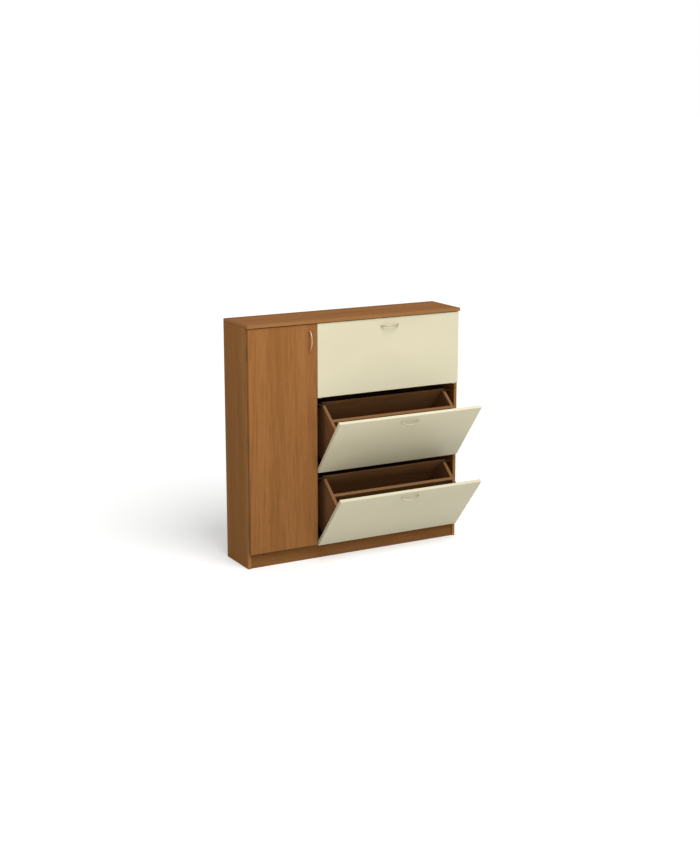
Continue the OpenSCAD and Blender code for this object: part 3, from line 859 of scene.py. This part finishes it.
def headed_hinge_pins(material):
    """Hinge pins with a small button at both ends."""
    bm = bmesh.new()
    button = [(BUTTON_RADIUS, 0), (BUTTON_RADIUS, BUTTON_RIM)]
    button += [(0.6 * BUTTON_RADIUS, 0.85 * BUTTON_RISE), (0, BUTTON_RISE)]
    for low, high in solids_of("hinge_pins"):
        middle = (low + high) / 2
        radius, length = (high.x - low.x) / 2, high.z - low.z
        profile = [(r, -rise) for r, rise in reversed(button)]
        profile += [(radius, 0), (radius, length)]
        profile += [(r, length + rise) for r, rise in button]
        lathe(bm, profile, (middle.x, middle.y, low.z), UPWARD, sides=24)
    replaced = ["hinge_pins"]
    piece_from(bm, "hinge_pin_set", material, "cabinet", UNMOVED, replaced)


def back_nails(material):
    """Small flat nails that hold the hardboard back all round and along the partition."""
    bm = bmesh.new()
    low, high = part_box("back_panel_left")[0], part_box("back_panel_right")[1]
    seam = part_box("back_panel_left")[1][0]
    left, bottom = low[0] + NAIL_INSET, low[2] + NAIL_INSET
    wide = high[0] - low[0] - 2 * NAIL_INSET
    tall = high[2] - low[2] - 2 * NAIL_INSET
    rows, columns = int(tall / NAIL_PITCH), int((high[0] - low[0]) / NAIL_PITCH)
    spots = []
    for x in (left, high[0] - NAIL_INSET, seam - SEAM_INSET, seam + SEAM_INSET):
        spots += [(x, bottom + k * tall / rows) for k in range(rows + 1)]
    for z in (BOTTOM_ROW, high[2] - TOP_ROW_DOWN):
        spots += [(left + k * wide / columns, z) for k in range(1, columns)]
    for x, z in spots:
        lathe(bm, NAIL_HEAD, (x, high[1], z), BACKWARD, sides=14)
    piece_from(bm, "back_nails", material, "cabinet", UNMOVED)


def catch_strips(material):
    """Two steel pole plates that look out of the magnetic catch."""
    bm = bmesh.new()
    low, high = (Vector(c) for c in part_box("catch_body"))
    for start in POLE_STARTS:
        x = low.x + (high.x - low.x) * start
        near = (x, low.y - POLE_OUT, low.z + POLE_END_ROOM)
        far = (x + POLE_THICK, low.y + POLE_IN, high.z - POLE_END_ROOM)
        box_mesh(bm, near, far)
    made = piece_from(bm, "catch_poles", material, "cabinet", UNMOVED)
    soften(made, PLATE_EDGE)


# ---- Fittings of the cabinet ----

BRONZE_NODES = ("hinge_side_leaves", "hinge_door_leaves", "hinge_pins")
ZINC_NODES = ("pivot_brackets", "pivot_pins", "stop_pegs", "catch_plate")
ZINC_NODES += ("carcass_screws", "door_screws")


def dress_fittings():
    """Materials and rounded edges of the CAD's own fittings."""
    for node in BRONZE_NODES:
        dress(node, bronze)
        soften(NODES[node], PLATE_EDGE)
    for node in ZINC_NODES:
        dress(node, zinc)
        soften(NODES[node], PART_EDGE)
    for name in BINS:
        dress(f"{name}_pivot_plates", zinc)
        dress(f"{name}_screws", zinc)
        soften(NODES[f"{name}_pivot_plates"], PLATE_EDGE)
    dress("stop_sleeves", rubber)
    soften(NODES["stop_sleeves"], SLEEVE_EDGE, segments=3)
    dress("catch_body", plastic)
    soften(NODES["catch_body"], CATCH_EDGE, segments=3)
    dress("board_dowels", beech)


def add_handle(name, body, material):
    """Bow handle of a front or the door, with the heads of its screws."""
    node = f"{name}_handle"
    place = handle_place(node)
    bow_handle(node, place, body, material)
    pan_screws(node, f"{name}_screw_heads", place, body, zinc)


def add_fittings():
    """Pieces that join or replace the CAD's plain ones."""
    domed_bumpers(rubber)
    collared_pins(zinc)
    headed_hinge_pins(bronze)
    back_nails(zinc)
    catch_strips(zinc)
    flat_screws("carcass_screw_tops", "carcass_screws", "cabinet", zinc)
    flat_screws("door_screw_tops", "door_screws", "door", bronze)
    for name in BINS:
        flat_screws(f"{name}_screw_tops", f"{name}_screws", f"{name}_bin", zinc)
        add_handle(name, f"{name}_bin", satin)
    add_handle("door", "door", satin_upright)


# ---- Studio ----

WHITE = (1.0, 1.0, 1.0, 1.0)
FLOOR_COLOUR = rgb(206, 206, 206)
FLOOR_PATCHES = rgb(209, 209, 209)
FLOOR_ROUGHNESS = 0.8
FLOOR_GLOW = 0.40
FLOOR_HALF = 60.0
SKY_DIM = (0.36, 0.36, 0.36, 1.0)
# The sky is white up to the first height and dim from the second, with the zenith at 1
SKY_WHITE_TO, SKY_DIM_FROM = 0.05, 0.14
KEY_AZIMUTH = 8
KEY_ELEVATION = 50
KEY_STRENGTH = 2.85
KEY_SPREAD = 42
KEY_COLOUR = (1.0, 0.998, 0.99)


def make_floor():
    """A pale floor that runs out of sight."""
    mesh = bpy.data.meshes.new("floor")
    corners = [(-FLOOR_HALF, -FLOOR_HALF, 0), (FLOOR_HALF, -FLOOR_HALF, 0)]
    corners += [(FLOOR_HALF, FLOOR_HALF, 0), (-FLOOR_HALF, FLOOR_HALF, 0)]
    mesh.from_pydata(corners, [], [(0, 1, 2, 3)])
    floor = bpy.data.objects.new("floor", mesh)
    bpy.context.scene.collection.objects.link(floor)
    paint = Shader("floor_paint")
    place = paint.add("ShaderNodeTexCoord", output="Object")
    cloud = paint.noise(place, scale=0.8, detail=2.0)
    colour = paint.blend(cloud, FLOOR_COLOUR, FLOOR_PATCHES)
    paint.set(Base_Color=colour, Roughness=FLOOR_ROUGHNESS)
    paint.set(Emission_Color=WHITE, Emission_Strength=FLOOR_GLOW)
    mesh.materials.append(paint.material)


def make_sky():
    """A soft tent over the floor, bright at the horizon and dimmer above."""
    world = bpy.data.worlds.new("studio")
    world.use_nodes = True
    tree = world.node_tree
    place = tree.nodes.new("ShaderNodeTexCoord").outputs["Generated"]
    height = tree.nodes.new("ShaderNodeSeparateXYZ")
    tree.links.new(place, height.inputs[0])
    rise = tree.nodes.new("ShaderNodeMapRange")
    tree.links.new(height.outputs["Z"], rise.inputs["Value"])
    rise.inputs["From Min"].default_value = SKY_WHITE_TO
    rise.inputs["From Max"].default_value = SKY_DIM_FROM
    mix = tree.nodes.new("ShaderNodeMix")
    mix.data_type = "RGBA"
    tree.links.new(rise.outputs[0], mix.inputs[0])
    mix.inputs[MIX_A].default_value = WHITE
    mix.inputs[MIX_B].default_value = SKY_DIM
    tree.links.new(mix.outputs[MIX_RESULT], tree.nodes["Background"].inputs["Color"])
    bpy.context.scene.world = world


def make_key_light():
    """One broad soft sun."""
    data = bpy.data.lights.new("key", "SUN")
    data.energy = KEY_STRENGTH
    data.angle = math.radians(KEY_SPREAD)
    data.color = KEY_COLOUR
    light = bpy.data.objects.new("key", data)
    bpy.context.scene.collection.objects.link(light)
    away = -direction(KEY_AZIMUTH, KEY_ELEVATION)
    light.rotation_euler = away.to_track_quat("-Z", "Y").to_euler()


make_camera()
dress_boards()
dress_fittings()
add_fittings()
make_floor()
make_sky()
make_key_light()
bpy.context.scene.view_settings.view_transform = "Standard"
